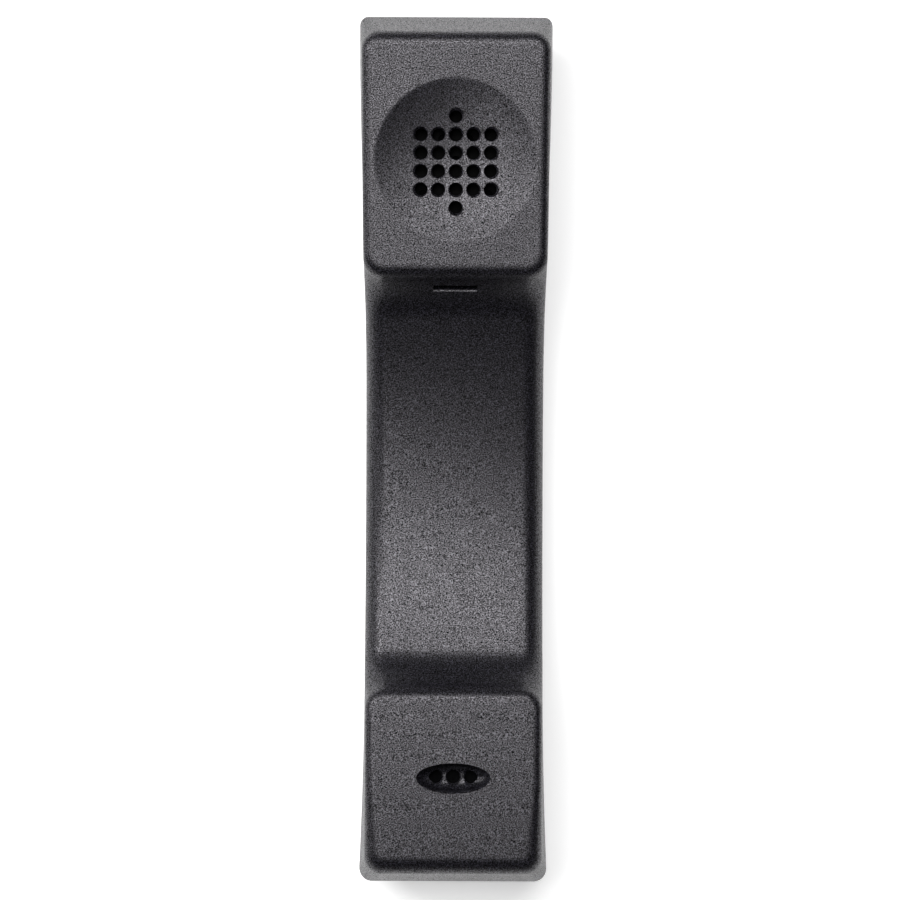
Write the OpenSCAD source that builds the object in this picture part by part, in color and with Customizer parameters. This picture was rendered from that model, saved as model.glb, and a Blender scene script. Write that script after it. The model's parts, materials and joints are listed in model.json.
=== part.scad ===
// Telephone handset lying on its back. X is the width, +Y points to the ear end
// and +Z out of the ear and mouth faces. All sizes are in millimetres.

/* [Body] */
// Length over the two end rims
body_length = 207; // [204:1:212]
// Width of the rim at the ear end
ear_end_width = 46.2; // [45.4:0.2:47]
// Width of the rim at the mouth end
mouth_end_width = 44.8; // [44:0.2:45.6]
// Width of the grip at its waist
grip_width = 42.6; // [42:0.2:43.2]
// Wall thickness of both shells
wall = 2.2; // [2:0.1:2.4]
// Half length of the flat on the back
back_flat = 36; // [32:1:40]
// Height by which the back has risen at each end
end_rise = 7; // [6:0.5:7.5]
// Radius along the long edges of the back
back_edge_r = 8; // [7:0.5:9]
// Height of the parting line at mid length
parting_low_z = 12; // [11.5:0.5:12.5]
// Height of the parting line at the end rims
rim_z = 22; // [21.5:0.5:22.5]

/* [Grip] */
// Height of the lowest line of the hollow of the grip
grip_low_z = 20.5; // [20:0.5:21]
// Place of that line along the handset
grip_centre_y = -9.5; // [-11:0.5:-8]
// Radius of the arched inner face of the grip
grip_arc_r = 140; // [136:1:150]
// Radius of the two long shoulders of the grip
shoulder_r = 5; // [4:0.5:5.5]

/* [Ear block] */
// Height of the ear face
ear_face_z = 37; // [36.8:0.1:37.2]
// Centre of the dish along the handset
dish_y = 68.4; // [68:0.1:69]
// Radius of the rim of the dish
dish_r = 19.3; // [19:0.1:19.5]
// Depth of the dish
dish_depth = 2.4; // [2.2:0.1:2.5]
// Diameter of a sound hole
ear_hole_d = 3; // [2.8:0.1:3.1]
// Spacing of the columns of sound holes
ear_column_pitch = 4.1; // [4:0.05:4.2]
// Spacing of the rows of sound holes
ear_row_pitch = 4.3; // [4.25:0.05:4.4]
// Width of the slot that the cradle's hanger tab enters
hang_slot_w = 10.4; // [9:0.2:11]

/* [Mouth block] */
// Height of the mouth face at its outer end
mouth_face_z = 37; // [36.8:0.1:37.2]
// Drop of the mouth face over its length
mouth_face_drop = 2; // [1.5:0.1:2.2]
// Centre of the microphone slot along the handset
mic_y = -77.6; // [-78:0.1:-77]
// Length of the microphone slot
mic_slot_l = 17; // [16:0.2:17.4]
// Height of the microphone slot
mic_slot_w = 6.6; // [6.2:0.1:6.8]
// Spacing of the three microphone holes
mic_hole_pitch = 4.3; // [4.2:0.05:4.4]
// Diameter of a microphone hole
mic_hole_d = 3.2; // [3:0.1:3.4]

/* [Receiver] */
// Outer radius of the receiver
receiver_r = 16; // [15.8:0.1:16.1]
// Free travel of the voice coil each way
coil_travel = 0.3; // [0.2:0.05:0.35]

/* [Jack] */
// Width of the opening for the cord's plug
jack_open_w = 7.8; // [7.7:0.1:8]
// Height of the opening for the cord's plug
jack_open_h = 6.8; // [6.7:0.1:6.9]
// Depth of the opening for the cord's plug
jack_open_d = 12; // [11.5:0.5:12]
// Diameter of a contact wire
contact_d = 0.45; // [0.4:0.05:0.5]

/* [Weight] */
// Length of the steel weight in the grip
weight_l = 60; // [56:1:64]
// Width of the steel weight
weight_w = 20; // [18:0.5:20]
// Thickness of the steel weight
weight_t = 6; // [5:0.5:6]

/* [Hidden] */

$fn = 64;
end_y = body_length / 2;
slack = 0.05;
thin = 0.2;
tall = 60;

// Colours of the mouldings and the fittings
case_color = "#3b3b3f";
steel_color = "#b9bcc0";
copper_color = "#b87333";
board_color = "#2f6b3c";

// Arcs along the handset, each about an axis parallel to X
back_arc_r = (pow(end_y - back_flat, 2) + pow(end_rise, 2)) / (2 * end_rise);
parting_rise = rim_z - parting_low_z;
parting_arc_r = (pow(end_y, 2) + pow(parting_rise, 2)) / (2 * parting_rise);
lip_depth = 1.6;
lip_t = 1;

// Rim outline: the waist widens towards both ends
ear_flare_start = 15;
mouth_flare_start = -50;
ear_corner_r = 2;
mouth_corner_r = 3;

// Levels of a block, from its foot to its face. Each is
// [inner y, outer y, inner half width, outer half width, corner radius, inner z, outer z]
// with y counted from mid length towards the block's own end.
foot_z = 8;
ear_levels = [
    [36, end_y, 22.2, 23.6, 1, rim_z, rim_z],
    [40.4, 98.8, 21.8, 22.5, 4.2, ear_face_z - 2, ear_face_z - 2],
    [40.9, 98.3, 21.2, 21.9, 3.8, ear_face_z - 0.6, ear_face_z - 0.6],
    [42.2, 97, 19.8, 20.5, 2.6, ear_face_z, ear_face_z]
];
mouth_inner_z = mouth_face_z - mouth_face_drop;
mouth_levels = [
    [52.8, end_y, 22, 22.9, 1, rim_z, rim_z],
    [57.1, 100.3, 20.9, 20.9, 4.3, mouth_inner_z - 1.7, mouth_face_z - 3.4],
    [57.6, 99.2, 20.4, 20.4, 3.8, mouth_inner_z - 0.5, mouth_face_z - 1],
    [58.7, 96.8, 19.1, 19.1, 2.6, mouth_inner_z, mouth_face_z]
];

// Dish and receiver seat
dish_sphere_r = (pow(dish_r, 2) + pow(dish_depth, 2)) / (2 * dish_depth);
dish_centre_z = ear_face_z - dish_depth + dish_sphere_r;
dish_wall = 2;
seat_z = ear_face_z - dish_depth - dish_wall - 0.2;
collar_r = 18;
hang_slot_z = 30.8;
hang_slot_h = 1.6;
gasket_t = 1.2;
cap_z = seat_z - gasket_t;
cap_t = 0.8;
screen_t = 0.2;
frame_top_z = cap_z - cap_t;
cone_t = 0.3;
dome_h = 1.2;
// Room over the dome for three times its travel
cone_z = frame_top_z - screen_t - dome_h - cone_t - 3 * coil_travel;
gap_top_z = cone_z - 1;
frame_floor_z = cap_z - 8.4;
felt_t = 0.4;
yoke_z = cap_z - 9;
magnet_r = 7;
pole_r = 7.3;
yoke_in_r = 8.6;
yoke_r = 10;
coil_gap = 0.35;
cone_r = 9.4;
surround_r = 14.6;
clamp_t = 1.6;
clamp_z = frame_floor_z - felt_t - clamp_t;
clamp_boss = 14.6;
clamp_boss_r = 2.6;
clamp_screw_r = 1.2;
lug_x = 2.5;
lug_y = dish_y - 2;

// Screws that hold the two shells together
shell_screw_ys = [91.5, -63.5];
shell_boss_tops = [ear_face_z - 2, mouth_inner_z - 1];
boss_split_z = 14;
head_seat_z = 11;
shell_screw_r = 1.4;
shell_head_r = 2.8;
counterbore_r = 3.5;
plug_top_z = 8.6;

// Microphone
mic_face_z = mouth_face_z - 1;
mic_floor_z = mic_face_z - 2.6;
mic_seat_z = mic_floor_z - 1.6;
mic_boot_r = 6.6;
mic_collar_r = 8.2;
capsule_r = 4.85;
mic_screen_t = 0.4;
boot_z = mic_seat_z - 7.4;

// Jack, seated in the end wall of the rear shell
jack_w = 11.2;
jack_h = 10;
jack_z = 8.8;
jack_l = 13.5;
jack_front_y = -end_y + 0.3;
jack_open_z = jack_z + 1.4;
contact_pitch = 1.27;
contact_slot_w = 0.8;
bend_y = jack_front_y + 1.8;
bend_z = jack_open_z + jack_open_h + 0.35;
contact_l = 8.6;
contact_rest_angle = -20;
tail_z = bend_z + 0.65;
tail_back_y = jack_front_y + 12.6;
board_z = jack_z + jack_h;
board_t = 1.2;
board_w = 24;
board_y = -99.5;
board_l = 15;
board_boss = [9.3, -92];
board_screw_r = 1.1;

// Weight
weight_z = 4;
weight_screw_y = 24;
weight_screw_r = 1.2;

// Leads, each along its own points
lead_r = 0.6;
mic_lead_r = 0.5;
lead_sides = 8;
lead_steps = 3;
red_route = [
    [2.5, 66.4, 20.8], [2.6, 65, 18.4], [3, 60, 16.6], [8, 50, 12], [12.6, 38, 9.6], [13, 25, 9.3],
    [13, 0, 9.3], [13, -25, 9.3], [13, -40, 9.5], [11, -55, 11], [8.5, -68, 15], [7.5, -78, 19],
    [7.5, -83.6, 21.8], [7.5, -86, 21.8], [7.5, -86.8, 20]
];
black_route = [
    [-2.5, 66.4, 20.8], [-2.4, 64.8, 18], [-1, 58, 15], [9.5, 49, 9.6], [14.8, 38, 9.2], [14.8, 25, 9.3],
    [14.6, 0, 9.3], [14.6, -25, 9.3], [14.6, -40, 9.3], [13.6, -56, 10.4], [11.6, -68, 14.4], [10.2, -78, 18.8],
    [10.2, -83.6, 21.8], [10.2, -86, 21.8], [10.2, -86.8, 20]
];
white_route = [
    [-1.3, -77.6, 23.2], [-1.9, -78, 21.8], [-4, -79, 20.9], [-6.8, -80.8, 21],
    [-8, -83.6, 21.8], [-8, -86, 21.8], [-8, -86.8, 20]
];
green_route = [
    [1.3, -77.6, 23.2], [1.1, -78.3, 21.8], [-0.4, -80, 20.9], [-2.8, -81.8, 21],
    [-4.5, -83.8, 21.8], [-4.5, -86, 21.8], [-4.5, -86.8, 20]
];

function clamp01(u) = min(1, max(0, u));
function smooth(u) = pow(clamp01(u), 2) * (3 - 2 * clamp01(u));

// Half width of the rim at a place along the handset
function half_width(y) = grip_width / 2
    + (ear_end_width - grip_width) / 2 * smooth((y - ear_flare_start) / (end_y - ear_flare_start))
    + (mouth_end_width - grip_width) / 2
        * pow(clamp01((y - mouth_flare_start) / (-end_y + 3.5 - mouth_flare_start)), 2);

function arc(centre, r, from, to, steps) = [
    for (i = [0:steps])
        let (a = from + (to - from) * i / steps)
            centre + r * [cos(a), sin(a)]
];

// Right-hand half of the rim outline, moved in by t
function rim_half(t) = concat(
    arc(
        [half_width(-end_y) - t - max(0.5, mouth_corner_r - t), -end_y + t + max(0.5, mouth_corner_r - t)],
        max(0.5, mouth_corner_r - t), -90, 0, 6
    ),
    [for (y = [-95:10:95]) [half_width(y) - t, y]],
    arc(
        [half_width(end_y) - t - max(0.5, ear_corner_r - t), end_y - t - max(0.5, ear_corner_r - t)],
        max(0.5, ear_corner_r - t), 0, 90, 6
    )
);
function mirrored(points) = [for (i = [len(points) - 1:-1:0]) [-points[i][0], points[i][1]]];

module rim_outline(t) {
    polygon(concat(rim_half(t), mirrored(rim_half(t))));
}

// A slot-shaped section, round at its two lower corners and open-ended upwards
module channel(hw, r, depth) {
    translate([-hw, r]) square([2 * hw, depth - r]);
    translate([-(hw - r), 0]) square([2 * (hw - r), depth]);
    for (side = [-1, 1]) translate([side * (hw - r), r]) circle(r = r);
}

// Sweeps a section about an axis that is parallel to X and r above the line z = 0
module bent_along_y(r, from, angle) {
    translate([0, 0, r]) rotate([0, 90, 0])
        rotate_extrude(start = from, angle = angle, $fn = 180) translate([r, 0]) rotate(90) children();
}

module above_parting(drop = 0) {
    translate([0, 0, parting_low_z + parting_arc_r - drop]) rotate([0, 90, 0])
        cylinder(r = parting_arc_r, h = 80, center = true, $fn = 720);
}

module rim_prism(t) {
    translate([0, 0, -1]) linear_extrude(tall) rim_outline(t);
}

// The lower body, solid, with its outside moved in by t
module rear_form(t) {
    hw = ear_end_width / 2 - t;
    r = back_edge_r - t;
    depth = 30;
    sweep = asin((end_y - back_flat + 2) / (back_arc_r - depth));
    intersection() {
        union() {
            rotate([90, 0, 0]) linear_extrude(2 * back_flat, center = true)
                translate([0, t]) channel(hw, r, depth);
            translate([0, back_flat, 0]) bent_along_y(back_arc_r, 0, sweep)
                translate([0, t]) channel(hw, r, depth);
            translate([0, -back_flat, 0]) bent_along_y(back_arc_r, -sweep, sweep)
                translate([0, t]) channel(hw, r, depth);
        }
        rim_prism(t);
    }
}

// One block as the hull of its levels, with its outside moved in by t
module block(levels, t) {
    hull() for (i = [0:len(levels) - 1]) {
        level = levels[i];
        drop = i > 0 ? t : 0;
        h = i > 0 ? thin : rim_z - foot_z;
        r = max(0.6, level[4] - t);
        for (side = [-1, 1]) {
            translate([side * (level[2] - t - r), level[0] + t + r, level[5] - drop - h])
                cylinder(r = r, h = h, $fn = 24);
            translate([side * (level[3] - t - r), level[1] - t - r, level[6] - drop - h])
                cylinder(r = r, h = h, $fn = 24);
        }
    }
}

// The upper body, solid, with its outside moved in by t
module front_form(t) {
    intersection() {
        union() {
            translate([0, grip_centre_y, grip_low_z]) bent_along_y(grip_arc_r, -24.5, 49)
                mirror([0, 1]) translate([0, t]) channel(22 - t, shoulder_r - t, 24);
            block(ear_levels, t);
            mirror([0, 1, 0]) block(mouth_levels, t);
        }
        rim_prism(t);
    }
}

module pillar(x, y, from, to, r) {
    translate([x, y, from]) cylinder(r = r, h = to - from);
}

module tube(x, y, from, to, r_in, r_out) {
    difference() {
        pillar(x, y, from, to, r_out);
        pillar(x, y, from - 1, to + 1, r_in);
    }
}

// A pan-head screw pointing +Z, with the underside of its head at z = 0
module screw(shank_r, shank_l, head_r, head_t) {
    recess_w = 0.25 * head_r;
    difference() {
        union() {
            cylinder(r = shank_r, h = shank_l - shank_r);
            translate([0, 0, shank_l - shank_r]) cylinder(r1 = shank_r, r2 = 0.3, h = shank_r);
            translate([0, 0, -head_t]) cylinder(r = head_r, h = head_t);
        }
        for (turn = [0, 90])
            rotate(turn) translate([-0.6 * head_r, -recess_w / 2, -head_t - 1])
                cube([1.2 * head_r, recess_w, 1 + 0.6 * head_t]);
    }
}

module ear_holes() {
    for (column = [-2:2])
        for (row = [-1.5:1.5])
            pillar(column * ear_column_pitch, dish_y - 0.5 + row * ear_row_pitch, seat_z - 1,
                ear_face_z + 1, ear_hole_d / 2);
    for (row = [-2.5, 2.5])
        pillar(0, dish_y - 0.5 + row * ear_row_pitch, seat_z - 1, ear_face_z + 1, ear_hole_d / 2);
}

module ellipse(length, width) {
    polygon([for (i = [0:47]) [length / 2 * cos(i * 7.5), width / 2 * sin(i * 7.5)]]);
}

module clamp_places() {
    for (side = [-1, 1]) translate([side * clamp_boss, dish_y + side * clamp_boss, 0]) children();
}

// Bosses, collars and pads that are moulded on the inside of the front shell
module front_fittings() {
    tube(0, dish_y, seat_z, ear_face_z - 1, receiver_r - 3, collar_r);
    tube(0, dish_y, seat_z - 4.5, seat_z + 1, receiver_r + 0.6, collar_r);
    clamp_places() pillar(0, 0, clamp_z + clamp_t, ear_face_z - 1, clamp_boss_r);
    for (i = [0, 1]) pillar(0, shell_screw_ys[i], boss_split_z, shell_boss_tops[i], 3.2);
    pillar(0, mic_y, mic_seat_z, mic_face_z - 1, 9.6);
    tube(0, mic_y, mic_seat_z - 5.5, mic_seat_z + 1, mic_boot_r + 0.1, mic_collar_r);
}

// Tongue that sits inside the wall of the rear shell along the parting line
module lip() {
    difference() {
        intersection() {
            rim_prism(wall - 0.5);
            above_parting(lip_depth);
        }
        rim_prism(wall + slack + lip_t);
        above_parting(-1);
        difference() {
            rim_prism(0);
            rim_prism(wall + slack);
            above_parting();
        }
    }
}

module front_shell() {
    color(case_color) difference() {
        union() {
            intersection() {
                difference() {
                    front_form(0);
                    difference() {
                        front_form(wall);
                        translate([0, dish_y, dish_centre_z])
                            sphere(r = dish_sphere_r + dish_wall, $fn = 128);
                    }
                }
                above_parting();
            }
            lip();
            front_fittings();
        }
        translate([0, dish_y, dish_centre_z]) sphere(r = dish_sphere_r, $fn = 128);
        ear_holes();
        clamp_places() pillar(0, 0, clamp_z, 31, clamp_screw_r + slack);
        for (y = shell_screw_ys) pillar(0, y, boss_split_z - 1, 26, shell_screw_r + slack);
        translate([-hang_slot_w / 2, 35, hang_slot_z]) cube([hang_slot_w, 8, hang_slot_h]);
        translate([0, mic_y, mic_floor_z]) linear_extrude(10) ellipse(mic_slot_l, mic_slot_w);
        for (i = [-1:1]) pillar(i * mic_hole_pitch, mic_y, mic_seat_z - 1, mic_face_z, mic_hole_d / 2);
    }
}

// Bosses and ribs that are moulded on the inside of the rear shell
module rear_fittings() {
    for (y = shell_screw_ys) pillar(0, y, 0, boss_split_z, 4.8);
    for (side = [-1, 1]) {
        pillar(0, side * weight_screw_y, 0, weight_z, 3);
        pillar(side * board_boss[0], board_boss[1], 2, board_z, 2.4);
        translate([side * (jack_w / 2 + 0.7) - 0.5, -101, 2]) cube([1, 9.5, 10]);
    }
}

module rear_shell() {
    color(case_color) difference() {
        union() {
            difference() {
                rear_form(0);
                rear_form(wall);
                above_parting();
            }
            intersection() {
                rear_fittings();
                rear_form(1);
            }
        }
        for (y = shell_screw_ys) {
            pillar(0, y, -1, head_seat_z, counterbore_r);
            pillar(0, y, 0, boss_split_z + 1, shell_screw_r + 0.2);
        }
        for (side = [-1, 1]) {
            pillar(0, side * weight_screw_y, 1, weight_z + 1, weight_screw_r + slack);
            pillar(side * board_boss[0], board_boss[1], 11, board_z + 1, board_screw_r + slack);
        }
        translate([-jack_w / 2 - slack, -end_y - 1, jack_z - slack])
            cube([jack_w + 2 * slack, 5, jack_h + 2 * slack]);
    }
}

module shell_screws() {
    color(steel_color) for (y = shell_screw_ys)
        translate([0, y, head_seat_z]) screw(shell_screw_r, 13, shell_head_r, 1.8);
}

module screw_plugs() {
    color(case_color) intersection() {
        for (y = shell_screw_ys) pillar(0, y, 0, plug_top_z, counterbore_r - slack);
        rear_form(0.1);
    }
}

module receiver_gasket() {
    color("#2a2a2c") tube(0, dish_y, cap_z, seat_z, receiver_r - 3, receiver_r + 0.3);
}

module receiver_cap() {
    color("#2a2a2d") difference() {
        pillar(0, dish_y, frame_top_z, cap_z, receiver_r);
        pillar(0, dish_y, frame_top_z - 1, cap_z + 1, 1.2);
        for (i = [0:5])
            translate([0, dish_y, 0]) rotate(i * 60) pillar(6, 0, frame_top_z - 1, cap_z + 1, 1.2);
        for (i = [0:11])
            translate([0, dish_y, 0]) rotate(i * 30 + 15) pillar(11, 0, frame_top_z - 1, cap_z + 1, 1);
    }
}

module receiver_screen() {
    color("#e8e2cf") pillar(0, dish_y, frame_top_z - screen_t, frame_top_z, 13);
}

module receiver_frame() {
    color("#26262a") translate([0, dish_y, 0]) difference() {
        rotate_extrude() polygon([
            [yoke_r + slack, frame_floor_z], [receiver_r, frame_floor_z], [receiver_r, frame_top_z],
            [surround_r + 0.1, frame_top_z], [surround_r + 0.1, cone_z], [13.6, cone_z],
            [13.6, frame_floor_z + 1.2], [yoke_r + slack, frame_floor_z + 1.2]
        ]);
        for (i = [0:5]) rotate(i * 60) pillar(12, 0, frame_floor_z - 1, frame_floor_z + 2, 0.9);
    }
}

module receiver_surround() {
    roll_mid = 12;
    roll_r = 1.4;
    color("#1e1e20") translate([0, dish_y, cone_z]) rotate_extrude() {
        translate([cone_r + 0.1, 0]) square([roll_mid - roll_r + cone_t - cone_r - 0.1, cone_t]);
        translate([roll_mid + roll_r - cone_t, 0]) square([surround_r - roll_mid - roll_r + cone_t, cone_t]);
        intersection() {
            translate([roll_mid, 0]) difference() {
                circle(r = roll_r);
                circle(r = roll_r - cone_t);
            }
            translate([roll_mid - 2, 0]) square([4, 2]);
        }
    }
}

module receiver_diaphragm() {
    dome_r = 7.3;
    sphere_r = (pow(dome_r, 2) + pow(dome_h, 2)) / (2 * dome_h);
    color("#c9b98e") {
        tube(0, dish_y, cone_z, cone_z + cone_t, dome_r, cone_r);
        translate([0, dish_y, 0]) intersection() {
            translate([0, 0, cone_z + dome_h + cone_t - sphere_r]) difference() {
                sphere(r = sphere_r, $fn = 128);
                sphere(r = sphere_r - cone_t, $fn = 128);
            }
            translate([0, 0, cone_z]) cylinder(r = dome_r + 0.1, h = 3);
        }
    }
}

module voice_coil() {
    color(copper_color)
        tube(0, dish_y, cone_z - 3, cone_z, pole_r + coil_gap, yoke_in_r - coil_gap);
}

module receiver_pole_plate() {
    color(steel_color) pillar(0, dish_y, gap_top_z - 1, gap_top_z, pole_r);
}

module receiver_magnet() {
    color("#6d6f73") pillar(0, dish_y, yoke_z + 1, gap_top_z - 1, magnet_r);
}

module receiver_yoke() {
    color(steel_color) difference() {
        pillar(0, dish_y, yoke_z, gap_top_z, yoke_r);
        pillar(0, dish_y, yoke_z + 1, gap_top_z + 1, yoke_in_r);
    }
}

module receiver_felt() {
    color("#d8d4c8") tube(0, dish_y, frame_floor_z - felt_t, frame_floor_z, 10.4, 15.6);
}

module receiver_terminal_board() {
    color(board_color) translate([-5, dish_y - 3, yoke_z - 0.8]) cube([10, 6, 0.8]);
}

module receiver_lugs() {
    color(steel_color) for (side = [-1, 1])
        pillar(side * lug_x, lug_y, 20.8, yoke_z - 0.8, 0.9);
}

module receiver_clamp() {
    top = clamp_z + clamp_t;
    color("#2c2c30") difference() {
        union() {
            tube(0, dish_y, clamp_z, top, 11.2, 15.8);
            clamp_places() pillar(0, 0, clamp_z, top, 3);
            for (side = [0, 180])
                translate([0, dish_y, clamp_z]) rotate(45 + side) translate([13, -2.4, 0])
                    cube([7, 4.8, clamp_t]);
        }
        clamp_places() pillar(0, 0, clamp_z - 1, top + 1, clamp_screw_r + 0.15);
    }
}

module clamp_screws() {
    color(steel_color) clamp_places() translate([0, 0, clamp_z]) screw(clamp_screw_r, 8.5, 2.3, 1.5);
}

module mic_screen() {
    color("#1c1c1e") pillar(0, mic_y, mic_seat_z - mic_screen_t, mic_seat_z, 6.2);
}

module mic_boot() {
    top = mic_seat_z - mic_screen_t;
    color("#232325") difference() {
        pillar(0, mic_y, boot_z, top, mic_boot_r);
        pillar(0, mic_y, boot_z - 1, top - 0.6, capsule_r);
        pillar(0, mic_y, top - 1, top + 1, 3.6);
    }
}

module mic_capsule() {
    top = mic_seat_z - mic_screen_t - 0.6;
    color("#c4c6ca") difference() {
        pillar(0, mic_y, boot_z + 1, top, capsule_r - slack);
        pillar(0, mic_y, top - 0.8, top + 1, 1);
    }
}

module mic_board() {
    color(board_color) pillar(0, mic_y, 23.2, boot_z + 1, capsule_r - 0.2);
}

module jack_housing() {
    hw = jack_w / 2;
    color("#242427") difference() {
        translate([-hw, jack_front_y, jack_z]) cube([jack_w, jack_l, jack_h]);
        translate([-jack_open_w / 2, jack_front_y - 1, jack_open_z])
            cube([jack_open_w, jack_open_d + 1, jack_open_h]);
        // Step under the opening for the plug's latch
        translate([-1.6, jack_front_y + 1.5, jack_z + 0.6]) cube([3.2, 6, 1.5]);
        translate([-3, jack_front_y - 1, jack_z + 0.6]) cube([6, 2.5, 1.5]);
        for (i = [0:3]) {
            x = (i - 1.5) * contact_pitch;
            translate([x - contact_slot_w / 2, jack_front_y + 1, jack_open_z + 1])
                cube([contact_slot_w, 11.4, tail_z + 0.3 - jack_open_z - 1]);
            pillar(x, tail_back_y, tail_z - 1, board_z + 1, contact_d / 2 + 0.1);
        }
    }
}

// The sprung arm of one contact wire, from its bend to its tip
module contact_arm(i) {
    color("#d4af37") translate([(i - 2.5) * contact_pitch, bend_y, bend_z])
        rotate([contact_rest_angle - 90, 0, 0]) {
            sphere(d = contact_d, $fn = 24);
            cylinder(d = contact_d, h = contact_l, $fn = 24);
            translate([0, 0, contact_l]) sphere(d = contact_d, $fn = 24);
        }
}

module jack_contact_1() {
    contact_arm(1);
}

module jack_contact_2() {
    contact_arm(2);
}

module jack_contact_3() {
    contact_arm(3);
}

module jack_contact_4() {
    contact_arm(4);
}

module contact_tails() {
    color("#d4af37") for (i = [0:3]) translate([(i - 1.5) * contact_pitch, 0, 0]) {
        translate([0, bend_y, tail_z]) rotate([-90, 0, 0])
            cylinder(d = contact_d, h = tail_back_y - bend_y, $fn = 24);
        translate([0, tail_back_y, tail_z]) sphere(d = contact_d, $fn = 24);
        pillar(0, tail_back_y, tail_z, board_z + board_t + 0.6, contact_d / 2);
    }
}

module jack_board() {
    color(board_color) difference() {
        translate([-board_w / 2, board_y, board_z]) cube([board_w, board_l, board_t]);
        for (side = [-1, 1])
            pillar(side * board_boss[0], board_boss[1], board_z - 1, board_z + 3, board_screw_r + 0.15);
        for (i = [0:3])
            pillar((i - 1.5) * contact_pitch, tail_back_y, board_z - 1, board_z + 3, contact_d / 2 + 0.1);
    }
}

module board_capacitors() {
    color("#a98c5f") for (x = [-2.6, 1.4])
        translate([x, -88.6, board_z + board_t]) cube([1.3, 2.4, 1.1]);
}

module board_screws() {
    color(steel_color) for (side = [-1, 1])
        translate([side * board_boss[0], board_boss[1], board_z + board_t]) rotate([180, 0, 0])
            screw(board_screw_r, 8, 2, 1.4);
}

module weight_bar() {
    color(steel_color) difference() {
        translate([-weight_w / 2, -weight_l / 2, weight_z]) cube([weight_w, weight_l, weight_t]);
        for (side = [-1, 1])
            pillar(0, side * weight_screw_y, weight_z - 1, weight_z + weight_t + 1, weight_screw_r + 0.3);
    }
}

module weight_pads() {
    color("#4a4a4e") for (y = [-16, 4])
        translate([-8, y, wall]) cube([16, 12, weight_z - wall]);
}

module weight_screws() {
    color(steel_color) for (side = [-1, 1])
        translate([0, side * weight_screw_y, weight_z + weight_t]) rotate([180, 0, 0])
            screw(weight_screw_r, 8.4, 2.6, 1.5);
}

// A point on the smooth curve through a route's points
function on_route(p, i, u) = let (
    a = p[max(0, i - 1)],
    b = p[i],
    c = p[i + 1],
    d = p[min(len(p) - 1, i + 2)]
) 0.5 * (2 * b + (c - a) * u + (2 * a - 5 * b + 4 * c - d) * u * u + (3 * b - a - 3 * c + d) * u * u * u);

function spine(p) = concat(
    [for (i = [0:len(p) - 2]) for (k = [0:lead_steps - 1]) on_route(p, i, k / lead_steps)],
    [p[len(p) - 1]]
);
function unit(v) = v / norm(v);
// Travel direction of the spine at one of its points; each end stands square on what it meets
function heading(s, i) = i == 0 || i == len(s) - 1 ? [0, 0, -1] : unit(s[i + 1] - s[i - 1]);
// Direction across the spine; no lead runs along X, so the rings don't twist
function across(h) = unit(cross(h, [1, 0, 0]));

module lead(route, r) {
    s = spine(route);
    n = lead_sides;
    rings = [
        for (i = [0:len(s) - 1])
            let (h = heading(s, i), side = across(h), up = cross(h, side))
                for (k = [0:n - 1]) s[i] + r * (cos(k * 360 / n) * side + sin(k * 360 / n) * up)
    ];
    walls = [
        for (i = [0:len(s) - 2])
            for (k = [0:n - 1])
                let (a = i * n + k, b = i * n + (k + 1) % n)
                    for (triangle = [[a, a + n, b + n], [a, b + n, b]]) triangle
    ];
    start = [for (k = [0:n - 1]) k];
    finish = [for (k = [n - 1:-1:0]) (len(s) - 1) * n + k];
    polyhedron(points = rings, faces = concat(walls, [start, finish]), convexity = 6);
}

module receiver_lead_red() {
    color("#a5282c") lead(red_route, lead_r);
}

module receiver_lead_black() {
    color("#202022") lead(black_route, lead_r);
}

module mic_lead_white() {
    color("#d8d8d4") lead(white_route, mic_lead_r);
}

module mic_lead_green() {
    color("#2e7a48") lead(green_route, mic_lead_r);
}

module lead_tape() {
    color("#d9c070") translate([-6, -6, weight_z + weight_t]) cube([22.4, 12, 0.25]);
}

front_shell();
rear_shell();
shell_screws();
screw_plugs();
receiver_gasket();
receiver_cap();
receiver_screen();
receiver_frame();
receiver_surround();
receiver_diaphragm();
voice_coil();
receiver_pole_plate();
receiver_magnet();
receiver_yoke();
receiver_felt();
receiver_terminal_board();
receiver_lugs();
receiver_clamp();
clamp_screws();
mic_screen();
mic_boot();
mic_capsule();
mic_board();
jack_housing();
jack_contact_1();
jack_contact_2();
jack_contact_3();
jack_contact_4();
contact_tails();
jack_board();
board_capacitors();
board_screws();
weight_bar();
weight_pads();
weight_screws();
receiver_lead_red();
receiver_lead_black();
mic_lead_white();
mic_lead_green();
lead_tape();
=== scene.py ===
"""Telephone handset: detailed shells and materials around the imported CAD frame.

The shell formulas work in millimetres; MM turns them into Blender's metres.
"""

import json
import math
from collections import namedtuple

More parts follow.
